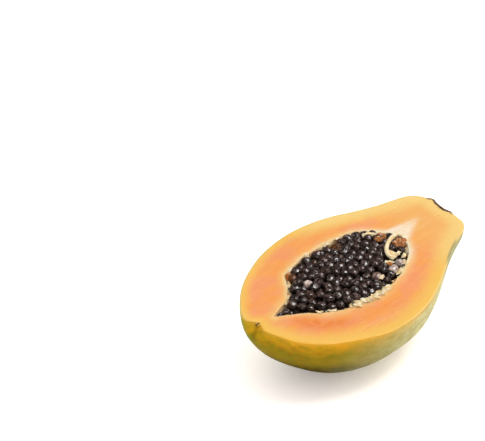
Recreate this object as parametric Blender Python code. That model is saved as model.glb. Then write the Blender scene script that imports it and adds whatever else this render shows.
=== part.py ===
"""One half of a papaya, cut lengthwise and lying on its back, with the seeds still in it.

Everything is shaped in the cut frame, in millimetres: X runs from the blossom tip to the stem scar,
Y runs across the cut towards its far edge, and Z stands out of the cut face, which is at Z = 0.
The finished solids are then tipped to the way the half lies and set on its small flat spot.
"""

import math

import bmesh
import bpy
import numpy as np
from mathutils import Matrix, Vector

MM = 0.001

# The way the half lies: its cut face is tipped towards its near edge and lifts a little at the stem end.
ROLL_DEG = 7.0
PITCH_DEG = 1.0
FLAT_SPOT_DEPTH = 0.9

# Skin outline, from the blossom end to the stem end, in millimetres. Each row is a half ring:
# X and Y on the far edge of the cut, X and Y on its near edge, the depth below the cut,
# how far the lowest point leans towards the stem, and how much the sides swell just below the cut.
SKIN_ROWS = (
    (-2.7, 0.0, -2.7, 0.0, 0.0, 0.0, 0.0),  # end of the dried flower stub
    (-2.4, 0.9, -2.4, -0.9, 0.9, 0.0, 0.0),
    (-0.9, 1.3, -0.9, -1.3, 1.2, 0.0, 0.0),  # foot of the stub, in the dimple
    (-2.1, 2.9, -1.6, -2.9, 2.8, -0.6, 0.0),
    (-3.8, 6.8, -2.6, -6.6, 6.6, -1.6, 0.0),  # lip round the dimple
    (-0.9, 12.8, -0.4, -13.8, 13.4, -1.9, 0.0),
    (8.5, 22.2, 4.6, -24.8, 23.8, -1.2, 0.0),
    (20.5, 30.0, 15.7, -36.2, 34.6, -0.1, 0.0),
    (37.0, 36.9, 32.5, -45.5, 46.2, 0.0, 0.0),
    (52.0, 40.3, 48.5, -51.6, 50.0, 0.0, 0.0),
    (68.0, 41.5, 66.0, -52.6, 51.2, 0.0, 0.01),  # widest ring
    (84.0, 39.9, 83.0, -50.1, 50.6, 0.0, 0.035),
    (99.0, 36.1, 99.0, -44.2, 46.8, 0.0, 0.045),
    (113.0, 30.5, 114.0, -37.0, 41.0, 0.0, 0.045),
    (127.0, 25.5, 128.0, -30.3, 34.0, 0.0, 0.04),
    (139.0, 22.3, 140.0, -25.8, 28.2, 0.0, 0.03),  # neck
    (147.5, 19.9, 148.5, -23.0, 23.8, 0.0, 0.02),
    (153.2, 15.8, 153.9, -18.4, 18.8, 0.0, 0.0),
    (156.4, 10.4, 155.4, -11.6, 11.6, 0.0, 0.0),
    (158.2, 7.4, 156.4, -7.6, 7.6, 0.0, 0.0),  # corky ring round the stem scar
    (157.8, 5.6, 156.2, -5.8, 5.8, 0.0, 0.0),
    (156.8, 3.4, 155.6, -3.6, 3.6, 0.0, 0.0),
    (156.0, 0.0, 156.0, 0.0, 0.0, 0.0, 0.0),  # middle of the stem scar
)
SKIN_RIB = 0.012
SKIN_RINGS = 50
SKIN_SEGMENTS = 60

# Seed cavity, in rows like the skin's. Its first rows are the narrow cleft at the blossom end.
CAVITY_ROWS = (
    (9.2, -1.9, 9.2, -1.9, 0.0, 0.0, 0.0),
    (16.5, 0.6, 16.7, -6.4, 6.0, 0.0, 0.0),
    (24.4, 2.9, 24.4, -11.4, 10.0, 0.0, 0.0),
    (32.4, 9.4, 31.2, -17.4, 15.5, 0.0, 0.0),
    (38.8, 16.6, 38.6, -21.7, 20.5, 0.0, 0.0),
    (46.6, 19.2, 46.8, -24.2, 24.0, 0.0, 0.0),
    (59.0, 21.6, 58.6, -27.2, 26.6, 0.0, 0.0),
    (72.6, 21.0, 72.0, -27.5, 27.0, 0.0, 0.0),
    (86.0, 19.9, 86.0, -25.0, 25.0, 0.0, 0.0),
    (97.2, 17.6, 98.0, -20.6, 21.0, 0.0, 0.0),
    (106.8, 9.6, 107.6, -15.0, 15.0, 0.0, 0.0),
    (113.0, 2.4, 113.2, -9.0, 8.0, 0.0, 0.0),
    (115.4, -4.2, 115.4, -4.2, 0.0, 0.0, 0.0),
)
CAVITY_RIB = 0.03
CAVITY_RINGS = 30
CAVITY_SEGMENTS = 40

# Seeds: round, a little unequal, crowded in the cavity and heaped slightly over the cut.
SEED_COUNT = 118
SEED_RADIUS_MIN = 2.4
SEED_RADIUS_MAX = 3.2
SEED_SMALLEST = 1.4
SEED_LENGTH_RATIO = 1.10
SEED_CROWDING = 0.97
SEED_SIDES = 7
SEED_LEVELS_DEG = (38.0, 72.0, 104.0)
SEED_DRAW = 20417
SEED_SPREADS = 160
SEED_UNEVEN = 2.4
SEED_WALL_GAP = 0.8
SEED_WALL_SLACK = 1.0
HEAP_EDGE_HEIGHT = -1.1
HEAP_CROWN_HEIGHT = 1.7
CORE_WALL_GAP = 1.3
CORE_BELOW_HEAP = 1.2
CORE_BLOSSOM_END = (14.2, -2.7, 14.2, -2.7, 0.0, 0.0, 0.0)
CORE_STEM_END = (113.4, -3.8, 113.4, -3.8, 0.0, 0.0, 0.0)
CORE_RINGS = 20
CORE_SEGMENTS = 24

# Strand of pale seed-bearing tissue: rooted in the flesh at the cavity's stem end, hooked over the seeds.
STRAND_RADIUS = 1.2
STRAND_ROUTE = (
    (120.0, -2.2, -4.4),
    (116.2, -2.4, -0.4),
    (110.8, -3.0, 3.8),
    (102.8, -4.6, 5.6),
    (96.0, -7.6, 5.7),
    (92.0, -11.2, 5.4),
    (91.4, -14.2, 5.0),
    (94.0, -16.2, 4.5),
    (97.2, -16.3, 4.1),
)
STRAND_POINTS = 30
STRAND_SIDES = 10

# Scraps of the same tissue left on the cavity's edge: middle, half sizes and heading of each.
SCRAPS = (
    (50.6, -25.6, 0.2, 3.4, 2.6, 1.6, 20.0),
    (57.0, -26.7, 0.1, 3.8, 2.4, 1.4, -8.0),
    (64.8, -27.3, 0.0, 3.2, 2.2, 1.3, 6.0),
    (60.6, 21.5, 0.0, 3.0, 2.0, 1.2, 0.0),
    (78.4, 20.9, 0.0, 3.4, 2.1, 1.4, -5.0),
)
SCRAP_SIDES = 10
SCRAP_RINGS = 7
SEED_CLEARANCE = 0.7
SEED_LOWEST = 2.8

# Small long seeds in the narrow cleft at the blossom end: middle, radius, length ratio and heading.
TAIL_SEEDS = (
    (13.9, -2.4, -0.9, 1.3, 1.8, -6.0),
    (17.4, -3.4, -0.8, 2.0, 1.45, -24.0),
)

FLESH_COLOUR = (0.95, 0.47, 0.13, 1.0)
SEED_COLOUR = (0.025, 0.018, 0.014, 1.0)


def clear_scene():
    for old in list(bpy.data.objects):
        bpy.data.objects.remove(old, do_unlink=True)


def new_collection(name, hidden=False):
    collection = bpy.data.collections.new(name)
    bpy.context.scene.collection.children.link(collection)
    collection.hide_render = hidden
    return collection


def plain_material(name, colour, roughness):
    material = bpy.data.materials.new(name)
    material.use_nodes = True
    shader = material.node_tree.nodes["Principled BSDF"]
    shader.inputs["Base Color"].default_value = colour
    shader.inputs["Roughness"].default_value = roughness
    shader.inputs["Metallic"].default_value = 0.0
    return material


def along(rows, share):
    """Point on the smooth curve through the rows, at a share from 0 to 1 of the way along them."""
    points = np.asarray(rows, float)
    place = min(max(share, 0.0), 1.0) * (len(points) - 1)
    first = min(int(place), len(points) - 2)
    t = place - first
    before = max(first - 1, 0)
    after = min(first + 2, len(points) - 1)
    a, b, c, d = points[before], points[first], points[first + 1], points[after]
    bend = (2 * a - 5 * b + 4 * c - d) * t * t
    twist = (3 * b - a - 3 * c + d) * t ** 3
    return 0.5 * (2 * b + (c - a) * t + bend + twist)


def ring_point(rows, rib, share, turn):
    """Point of a lofted body: share runs from end to end, turn goes round from the far edge."""
    far_x, far_y, near_x, near_y, depth, lean, side_swell = along(rows, share)
    across = math.cos(turn)
    down = math.sin(turn)
    ribbed = 1.0 + rib * down * down * math.sin(5.0 * turn)
    fuller = 1.0 + 4.0 * side_swell * abs(down) * (1.0 - abs(down))
    x = 0.5 * (far_x + near_x) + 0.5 * (far_x - near_x) * across + lean * down * down
    y = 0.5 * (far_y + near_y) + 0.5 * (far_y - near_y) * across * ribbed * fuller
    return Vector((x, y, -depth * down * ribbed))


def lofted_mesh(name, rings, segments, place):
    """A ball whose points are moved by place(share, turn), so that it is closed at both ends."""
    shape = bmesh.new()
    bmesh.ops.create_uvsphere(shape, u_segments=segments, v_segments=rings, radius=1.0)
    for vert in shape.verts:
        share = math.acos(max(-1.0, min(1.0, vert.co.z))) / math.pi
        vert.co = place(share, math.atan2(vert.co.y, vert.co.x))
        if abs(vert.co.z) < 1e-4:
            vert.co.z = 0.0
    if shape.calc_volume(signed=True) < 0.0:
        bmesh.ops.reverse_faces(shape, faces=shape.faces)
    mesh = bpy.data.meshes.new(name)
    shape.to_mesh(mesh)
    shape.free()
    return mesh


def keep_above(mesh, point, direction):
    """Cuts the mesh with a plane, keeps the side its direction points to, and closes the cut."""
    shape = bmesh.new()
    shape.from_mesh(mesh)
    everything = shape.verts[:] + shape.edges[:] + shape.faces[:]
    cut = bmesh.ops.bisect_plane(shape, geom=everything, dist=1e-4, plane_co=point,
                                 plane_no=direction, clear_inner=True)
    rim = [item for item in cut["geom_cut"] if isinstance(item, bmesh.types.BMEdge)]
    bmesh.ops.edgeloop_fill(shape, edges=rim)
    bmesh.ops.recalc_face_normals(shape, faces=shape.faces)
    shape.to_mesh(mesh)
    shape.free()


def add_object(name, mesh, collection, material):
    made = bpy.data.objects.new(name, mesh)
    collection.objects.link(made)
    mesh.materials.clear()
    mesh.materials.append(material)
    return made


def join(target, operation, collection, solver):
    """One Boolean of the target with every object in the collection, applied; the collection is emptied."""
    step = target.modifiers.new("join", "BOOLEAN")
    step.operation = operation
    step.operand_type = "COLLECTION"
    step.collection = collection
    step.solver = solver
    bpy.context.view_layer.update()
    graph = bpy.context.evaluated_depsgraph_get()
    target.data = bpy.data.meshes.new_from_object(target.evaluated_get(graph))
    target.modifiers.clear()
    for used in list(collection.objects):
        bpy.data.objects.remove(used, do_unlink=True)


def cavity_outline():
    """Points of the cavity's edge in the cut face, and the directions square to it that point inwards."""
    far = np.array([along(CAVITY_ROWS, share)[[0, 1]] for share in np.linspace(0.0, 1.0, 181)])
    near = np.array([along(CAVITY_ROWS, share)[[2, 3]] for share in np.linspace(1.0, 0.0, 181)])
    edge = np.vstack([far, near[1:-1]])
    run = np.roll(edge, -1, axis=0) - np.roll(edge, 1, axis=0)
    inwards = np.stack([run[:, 1], -run[:, 0]], axis=1)
    return edge, inwards / np.linalg.norm(inwards, axis=1)[:, None]


def cavity_middle(x):
    """Middle line and half width of the cavity at places along the fruit."""
    rows = np.array([along(CAVITY_ROWS, share) for share in np.linspace(0.0, 1.0, 241)])
    far = np.interp(x, rows[:, 0], rows[:, 1])
    near = np.interp(x, rows[:, 2], rows[:, 3])
    return 0.5 * (far + near), 0.5 * (far - near)


def heap_height(x, y):
    """Level of the heap's seed middles: lowest along the cavity's wall, highest in the middle."""
    middle, half = cavity_middle(x)
    share = np.clip(np.abs(y - middle) / np.maximum(half, 0.1), 0.0, 1.0)
    fullness = np.clip(half / 20.0, 0.0, 1.0)
    rise = HEAP_CROWN_HEIGHT - HEAP_EDGE_HEIGHT
    return HEAP_EDGE_HEIGHT + rise * fullness * np.sqrt(1.0 - share ** 2)


def strand_line():
    return np.array([along(STRAND_ROUTE, share) for share in np.linspace(0.0, 1.0, STRAND_POINTS)])


def under_strand(spots, height, radius):
    """Lowers the seeds that lie under the strand, or too near its root, until they clear it."""
    strand = strand_line()
    need = (radius * SEED_LENGTH_RATIO + 1.25 * STRAND_RADIUS + SEED_CLEARANCE)[:, None]
    off = np.linalg.norm(spots[:, None, :] - strand[None, :, :2], axis=2)
    allowed = strand[None, :, 2] - np.sqrt(np.maximum(need ** 2 - off ** 2, 0.0))
    return np.minimum(height, np.where(off < need, allowed, 99.0).min(axis=1))


def settled_seeds():
    """Rows of x, y, z and radius: seeds thrown in by a seeded draw, then pushed apart and off the wall."""
    draw = np.random.RandomState(SEED_DRAW)
    edge, inwards = cavity_outline()
    radius = draw.uniform(SEED_RADIUS_MIN, SEED_RADIUS_MAX, SEED_COUNT)
    low, high = edge[:, 0].min(), edge[:, 0].max()
    x = draw.uniform(low, high, 8 * SEED_COUNT)
    y = draw.uniform(edge[:, 1].min(), edge[:, 1].max(), 8 * SEED_COUNT)
    middle, half = cavity_middle(x)
    spots = np.stack([x, y], axis=1)[np.abs(y - middle) < 0.95 * half][:SEED_COUNT]
    slack = SEED_WALL_SLACK * draw.uniform(0.0, 1.0, SEED_COUNT) ** 2
    wanted = (radius[:, None] + radius[None, :]) * SEED_CROWDING
    np.fill_diagonal(wanted, 0.0)
    for _ in range(SEED_SPREADS):
        between = spots[:, None, :] - spots[None, :, :]
        distance = np.maximum(np.linalg.norm(between, axis=2), 1e-6)
        push = np.maximum(wanted - distance, 0.0) / distance
        spots = spots + 0.3 * (between * push[:, :, None]).sum(axis=1)
        to_edge = spots[:, None, :] - edge[None, :, :]
        nearest = np.linalg.norm(to_edge, axis=2).argmin(axis=1)
        room = ((spots - edge[nearest]) * inwards[nearest]).sum(axis=1)
        short = np.maximum(radius * SEED_LENGTH_RATIO + SEED_WALL_GAP + slack - room, 0.0)
        spots = spots + inwards[nearest] * short[:, None]
        for scrap in SCRAPS:
            away = spots - scrap[:2]
            distance = np.maximum(np.linalg.norm(away, axis=1), 1e-6)
            short = np.maximum(radius * SEED_LENGTH_RATIO + scrap[4] + SEED_CLEARANCE - distance, 0.0)
            spots = spots + away * (short / distance)[:, None]
    to_edge = np.linalg.norm(spots[:, None, :] - edge[None, :, :], axis=2).min(axis=1)
    radius = np.minimum(radius, (to_edge - SEED_WALL_GAP) / SEED_LENGTH_RATIO)
    level = heap_height(spots[:, 0], spots[:, 1])
    height = under_strand(spots, level + draw.uniform(-0.5, 0.5, SEED_COUNT) * SEED_UNEVEN, radius)
    kept = (radius > SEED_SMALLEST) & (height > level - SEED_LOWEST)
    return np.column_stack([spots, height, radius])[kept]


def make_seeds(collection, pieces, material):
    """The heap, as one solid: a core that fills the cavity, and the seeds that stand half out of it."""
    level = HEAP_EDGE_HEIGHT - CORE_BELOW_HEAP
    rows = [CORE_BLOSSOM_END]
    for far_x, far_y, near_x, near_y, depth, lean, side_swell in CAVITY_ROWS[1:-1]:
        low = depth - 2.0 * CORE_WALL_GAP + level
        rows.append((far_x, far_y - CORE_WALL_GAP, near_x, near_y + CORE_WALL_GAP, low, lean, side_swell))
    rows.append(CORE_STEM_END)

    def core_point(share, turn):
        point = ring_point(rows, CAVITY_RIB, share, turn)
        if point.z > 0.0:
            point.z = min(point.z, float(heap_height(point.x, point.y)) - HEAP_EDGE_HEIGHT)
        point.z += level
        return point

    core = lofted_mesh("seeds", CORE_RINGS, CORE_SEGMENTS, core_point)
    heap = add_object("seeds", core, collection, material)
    turns = np.random.RandomState(SEED_DRAW + 1).uniform(0.0, math.pi, SEED_COUNT)
    levels = (0.0,) + SEED_LEVELS_DEG + (180.0,)
    heaped = [(*spot, SEED_LENGTH_RATIO, turn) for spot, turn in zip(settled_seeds(), turns)]
    tail = [(*spot[:5], math.radians(spot[5])) for spot in TAIL_SEEDS]
    for x, y, z, radius, ratio, heading in heaped + tail:
        def seed_point(share, turn):
            level = math.radians(np.interp(share * (len(levels) - 1), range(len(levels)), levels))
            out = radius * math.sin(level)
            up = radius * math.cos(level)
            return Vector((out * math.cos(turn) * ratio, out * math.sin(turn), up))

        mesh = lofted_mesh("seed", len(levels) - 1, SEED_SIDES, seed_point)
        mesh.transform(Matrix.Translation((x, y, z)) @ Matrix.Rotation(heading, 4, "Z"))
        add_object("seed", mesh, pieces, material)
    join(heap, "UNION", pieces, "MANIFOLD")
    return heap


def make_strand(pieces, material):
    """A thin rounded strand that follows its route, narrowed to a soft tip."""
    line = strand_line()

    def strand_point(share, turn):
        place = share * (STRAND_POINTS - 1)
        first = min(int(place), STRAND_POINTS - 2)
        here = line[first] + (line[first + 1] - line[first]) * (place - first)
        ahead = Vector(line[first + 1] - line[first]).normalized()
        side = ahead.cross(Vector((0.0, 0.0, 1.0))).normalized()
        over = side.cross(ahead)
        round_off = math.sqrt(max(0.0, 1.0 - (2.0 * share - 1.0) ** 12))
        thick = STRAND_RADIUS * round_off * (1.25 - 0.35 * share)
        return Vector(here) + side * thick * math.cos(turn) + over * thick * math.sin(turn)

    mesh = lofted_mesh("strand", STRAND_POINTS, STRAND_SIDES, strand_point)
    return add_object("strand", mesh, pieces, material)


def make_scraps(pieces, material):
    """Small lumps that straddle the cavity's edge."""
    for x, y, z, long, wide, high, heading in SCRAPS:
        def scrap_point(share, turn):
            out = math.sin(math.pi * share)
            lumpy = 1.0 + 0.12 * math.sin(3.0 * turn + x)
            return Vector((long * math.cos(math.pi * share), wide * out * lumpy * math.cos(turn),
                           high * out * lumpy * math.sin(turn)))

        mesh = lofted_mesh("scrap", SCRAP_RINGS, SCRAP_SIDES, scrap_point)
        mesh.transform(Matrix.Translation((x, y, z)) @ Matrix.Rotation(math.radians(heading), 4, "Z"))
        add_object("scrap", mesh, pieces, material)


def make_flesh(collection, pieces, material):
    """Skin and flesh as one solid, cut flat, with the seed cavity taken out and the strand grown on."""
    def skin_point(share, turn):
        return ring_point(SKIN_ROWS, SKIN_RIB, share, turn)

    def cavity_point(share, turn):
        return ring_point(CAVITY_ROWS, CAVITY_RIB, share, turn)

    skin = lofted_mesh("papaya_half", SKIN_RINGS, SKIN_SEGMENTS, skin_point)
    keep_above(skin, (0.0, 0.0, 0.0), (0.0, 0.0, -1.0))
    flesh = add_object("papaya_half", skin, collection, material)
    cavity = lofted_mesh("cavity", CAVITY_RINGS, CAVITY_SEGMENTS, cavity_point)
    add_object("cavity", cavity, pieces, material)
    join(flesh, "DIFFERENCE", pieces, "EXACT")
    make_strand(pieces, material)
    make_scraps(pieces, material)
    join(flesh, "UNION", pieces, "EXACT")
    return flesh


def set_down(objects):
    """Tips the solids to the way the half lies and puts the middle of its flat spot at the origin."""
    roll = Matrix.Rotation(math.radians(ROLL_DEG), 4, "X")
    tip = Matrix.Rotation(math.radians(-PITCH_DEG), 4, "Y") @ roll
    for made in objects:
        made.data.transform(tip)
    flesh = objects[0]
    lowest = min(flesh.data.vertices, key=lambda vert: vert.co.z).co.copy()
    floor = lowest.z + FLAT_SPOT_DEPTH
    keep_above(flesh.data, (0.0, 0.0, floor), (0.0, 0.0, 1.0))
    spot = [vert.co for vert in flesh.data.vertices if abs(vert.co.z - floor) < 1e-3]
    middle_x = 0.5 * (min(co.x for co in spot) + max(co.x for co in spot))
    middle_y = 0.5 * (min(co.y for co in spot) + max(co.y for co in spot))
    move = Matrix.Scale(MM, 4) @ Matrix.Translation((-middle_x, -middle_y, -floor))
    for made in objects:
        made.data.transform(move)
        made.data.set_sharp_from_angle(angle=math.radians(40.0))
    return move @ tip


def main():
    clear_scene()
    papaya = new_collection("papaya_half")
    pieces = new_collection("cutters", hidden=True)
    flesh_material = plain_material("flesh", FLESH_COLOUR, 0.45)
    seed_material = plain_material("seed", SEED_COLOUR, 0.3)
    flesh = make_flesh(papaya, pieces, flesh_material)
    heap = make_seeds(papaya, pieces, seed_material)
    for made in (flesh, heap):
        made.data.polygons.foreach_set("use_smooth", [True] * len(made.data.polygons))
    set_down((flesh, heap))


if __name__ == "__main__":
    main()
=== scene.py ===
"""A papaya half, lying on its skin with its seeds in it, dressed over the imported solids.

Shapes are worked out in the cut frame, in millimetres: X runs from the blossom tip to the stem scar, Y across
the cut towards its far edge, Z out of the cut face. LAY then takes them to the frame that the half lies in.
"""

import math

import bmesh
import bpy
import numpy as np
from bpy.props import FloatProperty, FloatVectorProperty, PointerProperty
from bpy.types import Operator, Panel, PropertyGroup
from mathutils import Matrix, Vector, noise


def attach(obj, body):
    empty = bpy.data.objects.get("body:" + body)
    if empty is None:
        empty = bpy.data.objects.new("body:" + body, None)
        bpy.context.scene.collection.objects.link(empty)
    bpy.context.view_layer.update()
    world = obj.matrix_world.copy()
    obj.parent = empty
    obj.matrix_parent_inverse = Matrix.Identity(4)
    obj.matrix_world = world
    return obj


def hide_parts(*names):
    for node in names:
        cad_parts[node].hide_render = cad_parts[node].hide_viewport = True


bl_info = {
    "name": "Papaya half",
    "version": (1, 0, 0),
    "blender": (4, 5, 0),
    "location": "3D View > Sidebar > Papaya",
    "description": "Makes a cut papaya with its flesh, skin, seeds and seed tissue",
    "category": "Object",
}

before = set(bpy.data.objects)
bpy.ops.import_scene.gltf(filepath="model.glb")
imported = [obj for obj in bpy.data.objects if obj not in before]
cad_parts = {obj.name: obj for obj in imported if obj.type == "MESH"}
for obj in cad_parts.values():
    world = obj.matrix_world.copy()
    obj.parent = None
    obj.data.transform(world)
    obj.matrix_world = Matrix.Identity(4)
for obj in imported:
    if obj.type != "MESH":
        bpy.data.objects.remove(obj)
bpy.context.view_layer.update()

MM = 0.001
LAY_AT = (-67.5175, 3.4344, 50.2577)  # where the cut frame's origin lies, in millimetres
LAY_ROLL, LAY_PITCH = math.radians(7.0), math.radians(-1.0)
LAY = (Matrix.Scale(MM, 4) @ Matrix.Translation(LAY_AT)
       @ Matrix.Rotation(LAY_PITCH, 4, "Y") @ Matrix.Rotation(LAY_ROLL, 4, "X"))

# Half rings of the skin, blossom end first: X and Y on the far edge of the cut, X and Y on its near edge,
# depth below the cut, lean of the lowest point towards the stem, and swell of the sides.
SKIN_ROWS = (
    (-2.7, 0.0, -2.7, 0.0, 0.0, 0.0, 0.0),  # end of the dried flower stub
    (-2.4, 0.9, -2.4, -0.9, 0.9, 0.0, 0.0),
    (-0.9, 1.3, -0.9, -1.3, 1.2, 0.0, 0.0),
    (-2.1, 2.9, -1.6, -2.9, 2.8, -0.6, 0.0),
    (-3.8, 6.8, -2.6, -6.6, 6.6, -1.6, 0.0),  # lip round the dimple
    (-0.9, 12.8, -0.4, -13.8, 13.4, -1.9, 0.0),
    (8.5, 22.2, 4.6, -24.8, 23.8, -1.2, 0.0),
    (20.5, 30.0, 15.7, -36.2, 34.6, -0.1, 0.0),
    (37.0, 36.9, 32.5, -45.5, 46.2, 0.0, 0.0),
    (52.0, 40.3, 48.5, -51.6, 50.0, 0.0, 0.0),
    (68.0, 41.5, 66.0, -52.6, 51.2, 0.0, 0.01),  # widest ring
    (84.0, 39.9, 83.0, -50.1, 50.6, 0.0, 0.035),
    (99.0, 36.1, 99.0, -44.2, 46.8, 0.0, 0.045),
    (113.0, 30.5, 114.0, -37.0, 41.0, 0.0, 0.045),
    (127.0, 25.5, 128.0, -30.3, 34.0, 0.0, 0.04),
    (139.0, 22.3, 140.0, -25.8, 28.2, 0.0, 0.03),  # neck
    (147.5, 19.9, 148.5, -23.0, 23.8, 0.0, 0.02),
    (153.2, 15.8, 153.9, -18.4, 18.8, 0.0, 0.0),
    (156.4, 10.4, 155.4, -11.6, 11.6, 0.0, 0.0),
    (158.2, 7.4, 156.4, -7.6, 7.6, 0.0, 0.0),  # corky ring round the stem scar
    (157.8, 5.6, 156.2, -5.8, 5.8, 0.0, 0.0),
    (156.8, 3.4, 155.6, -3.6, 3.6, 0.0, 0.0),
    (156.0, 0.0, 156.0, 0.0, 0.0, 0.0, 0.0),  # middle of the stem scar
)
SKIN_RIB = 0.012
CAVITY_ROWS = (
    (9.2, -1.9, 9.2, -1.9, 0.0, 0.0, 0.0),
    (16.5, 0.6, 16.7, -6.4, 6.0, 0.0, 0.0),
    (24.4, 2.9, 24.4, -11.4, 10.0, 0.0, 0.0),
    (32.4, 9.4, 31.2, -17.4, 15.5, 0.0, 0.0),
    (38.8, 16.6, 38.6, -21.7, 20.5, 0.0, 0.0),
    (46.6, 19.2, 46.8, -24.2, 24.0, 0.0, 0.0),
    (59.0, 21.6, 58.6, -27.2, 26.6, 0.0, 0.0),
    (72.6, 21.0, 72.0, -27.5, 27.0, 0.0, 0.0),
    (86.0, 19.9, 86.0, -25.0, 25.0, 0.0, 0.0),
    (97.2, 17.6, 98.0, -20.6, 21.0, 0.0, 0.0),
    (106.8, 9.6, 107.6, -15.0, 15.0, 0.0, 0.0),
    (113.0, 2.4, 113.2, -9.0, 8.0, 0.0, 0.0),
    (115.4, -4.2, 115.4, -4.2, 0.0, 0.0, 0.0),
)
CAVITY_RIB = 0.03
FACE_MIDDLE = (62.0, -3.0)  # both edges of the cut face are star-shaped about this point

SEED_COUNT = 118
SEED_RADIUS_MIN, SEED_RADIUS_MAX, SEED_SMALLEST = 2.4, 3.2, 1.4
SEED_LENGTH_RATIO, SEED_CROWDING, SEED_DRAW, SEED_SPREADS = 1.10, 0.97, 20417, 160
SEED_UNEVEN, SEED_WALL_GAP, SEED_WALL_SLACK = 2.4, 0.8, 1.0
SEED_CLEARANCE, SEED_LOWEST = 0.7, 2.8
HEAP_EDGE_HEIGHT, HEAP_CROWN_HEIGHT = -1.1, 1.7
SEED_FINENESS, SEED_FINENESS_UNDER = 4, 3
# The layer under the seeds that show, and the filling below it; the drops are from the heap's top.
UNDER_COUNT, UNDER_CROWDING, UNDER_SPREADS, UNDER_SHRINK, UNDER_DROP = 120, 0.9, 60, 0.92, 3.4
CORE_DROP, CORE_GAP, CORE_TURNS, CORE_RINGS = 2.6, 1.3, 72, 90
# Small long seeds in the cleft at the blossom end: middle, radius, length ratio and heading in degrees.
TAIL_SEEDS = (
    (13.9, -2.4, -0.9, 1.3, 1.8, -6.0),
    (17.4, -3.4, -0.8, 2.0, 1.45, -24.0),
)
STRAND_RADIUS, STRAND_POINTS, STRAND_RINGS, STRAND_STAIN = 1.2, 30, 120, 0.25
STRAND_ROUTE = (
    (120.0, -2.2, -4.4), (116.2, -2.4, -0.4), (110.8, -3.0, 3.8), (102.8, -4.6, 5.6), (96.0, -7.6, 5.7),
    (92.0, -11.2, 5.4), (91.4, -14.2, 5.0), (92.8, -15.6, 4.6),
)
# Clumps of seed tissue: middle, half sizes and heading in degrees.
SCRAPS = (
    (93.2, -12.6, 5.0, 2.7, 2.0, 1.3, 60.0),
    (91.4, -14.9, 4.6, 2.2, 1.7, 1.2, 20.0),
    (60.6, 21.0, 0.2, 2.8, 1.8, 1.0, 0.0),
    (78.0, 20.2, 0.4, 3.2, 1.9, 1.2, -5.0),
    (99.6, -13.6, 3.0, 1.9, 1.4, 0.9, 30.0),
)
SCRAP_PARTS, FRINGE_PARTS, SCRAP_DRAW, LUMP_FINENESS = 9, 52, 611, 4
FRINGE_START, FRINGE_END, FRINGE_REACH = 46.5, 77.0, 6.0  # along the near edge, and how far it reaches in
CRUMB_COUNT, CRUMB_DRAW, CRUMB_LUMPS, CRUMB_STRETCH = 110, 87, 0.4, 1.4

CAMERA_AT = (-0.61058, -0.49319, 0.57379)
CAMERA_RIGHT, CAMERA_UP = (0.6837, -0.7297, 0.0), (0.3867, 0.3623, 0.8480)
CAMERA_BACK = (-0.6188, -0.5798, 0.5299)
CAMERA_LENS = 126.78
KEY_ANGLE, FLOOR_HALF = math.radians(20.0), 3.0  # how wide the main light looks, and half the floor's side
MIRRORED_ROOM = 0.06  # how bright the room is in reflections, next to its own light


def paint(code):
    """Linear colour of a six-letter colour code."""
    parts = [int(code[place:place + 2], 16) / 255.0 for place in (0, 2, 4)]
    return tuple(part / 12.92 if part <= 0.04045 else ((part + 0.055) / 1.055) ** 2.4 for part in parts)


FULL_LIGHT = 0.6  # a white as bright as the picture's, as a share of the floor's


def tone(code):
    """Surface colour that shows as the given code where the half is fully lit."""
    return tuple(FULL_LIGHT * part for part in paint(code))


# Curves and surfaces that follow the rows


def through(rows, shares):
    """Points on the smooth curve through the rows, at shares from 0 to 1 of the way along them."""
    points = np.asarray(rows, float)
    place = np.clip(np.asarray(shares, float), 0.0, 1.0) * (len(points) - 1)
    first = np.minimum(place.astype(int), len(points) - 2)
    t = (place - first)[..., None]
    a, b = points[np.maximum(first - 1, 0)], points[first]
    c, d = points[first + 1], points[np.minimum(first + 2, len(points) - 1)]
    bend = (2 * a - 5 * b + 4 * c - d) * t * t
    twist = (3 * b - a - 3 * c + d) * t ** 3
    return 0.5 * (2 * b + (c - a) * t + bend + twist)


def half_rings(rows, rib, shares, turns):
    """Points of a lofted half body; a turn of 0 is on the far edge of the cut and pi on its near edge."""
    far_x, far_y, near_x, near_y, depth, lean, swell = np.moveaxis(through(rows, shares), -1, 0)
    across, down = np.cos(turns), np.sin(turns)
    ribbed = 1.0 + rib * down * down * np.sin(5.0 * turns)
    fuller = 1.0 + 4.0 * swell * np.abs(down) * (1.0 - np.abs(down))
    x = 0.5 * (far_x + near_x) + 0.5 * (far_x - near_x) * across + lean * down * down
    y = 0.5 * (far_y + near_y) + 0.5 * (far_y - near_y) * across * ribbed * fuller
    return np.stack([x, y, -depth * down * ribbed], axis=-1)


def ripple(points, size, offset=0.0, octaves=1):
    """Smooth noise from -1 to 1 at each point, its lumps about size across."""
    values = np.empty(len(points))
    for number, point in enumerate(points / size + offset):
        spot = Vector(point)
        values[number] = noise.noise(spot) if octaves == 1 else noise.fractal(spot, 0.6, 2.0, octaves)
    return values


def far_from(points, line):
    """Distance of each point to the nearest point of a line, in the cut plane."""
    found = np.empty(len(points))
    for start in range(0, len(points), 4000):
        part = points[start:start + 4000, None, :2] - line[None, :, :2]
        found[start:start + 4000] = np.sqrt((part ** 2).sum(axis=2)).min(axis=1)
    return found


def smooth_step(low, high, values):
    """0 at low and 1 at high, eased at both ends."""
    share = np.clip((np.asarray(values, float) - low) / (high - low), 0.0, 1.0)
    return share * share * (3.0 - 2.0 * share)


def blob(points, middle, sizes, heading=0.0):
    """1 in the middle of a soft oval spot and 0 well outside it."""
    turn = math.radians(heading)
    off = points[:, :2] - np.asarray(middle)
    long = off[:, 0] * math.cos(turn) + off[:, 1] * math.sin(turn)
    wide = -off[:, 0] * math.sin(turn) + off[:, 1] * math.cos(turn)
    return np.exp(-(long / sizes[0]) ** 2 - (wide / sizes[1]) ** 2)


# Where the seeds lie


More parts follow.
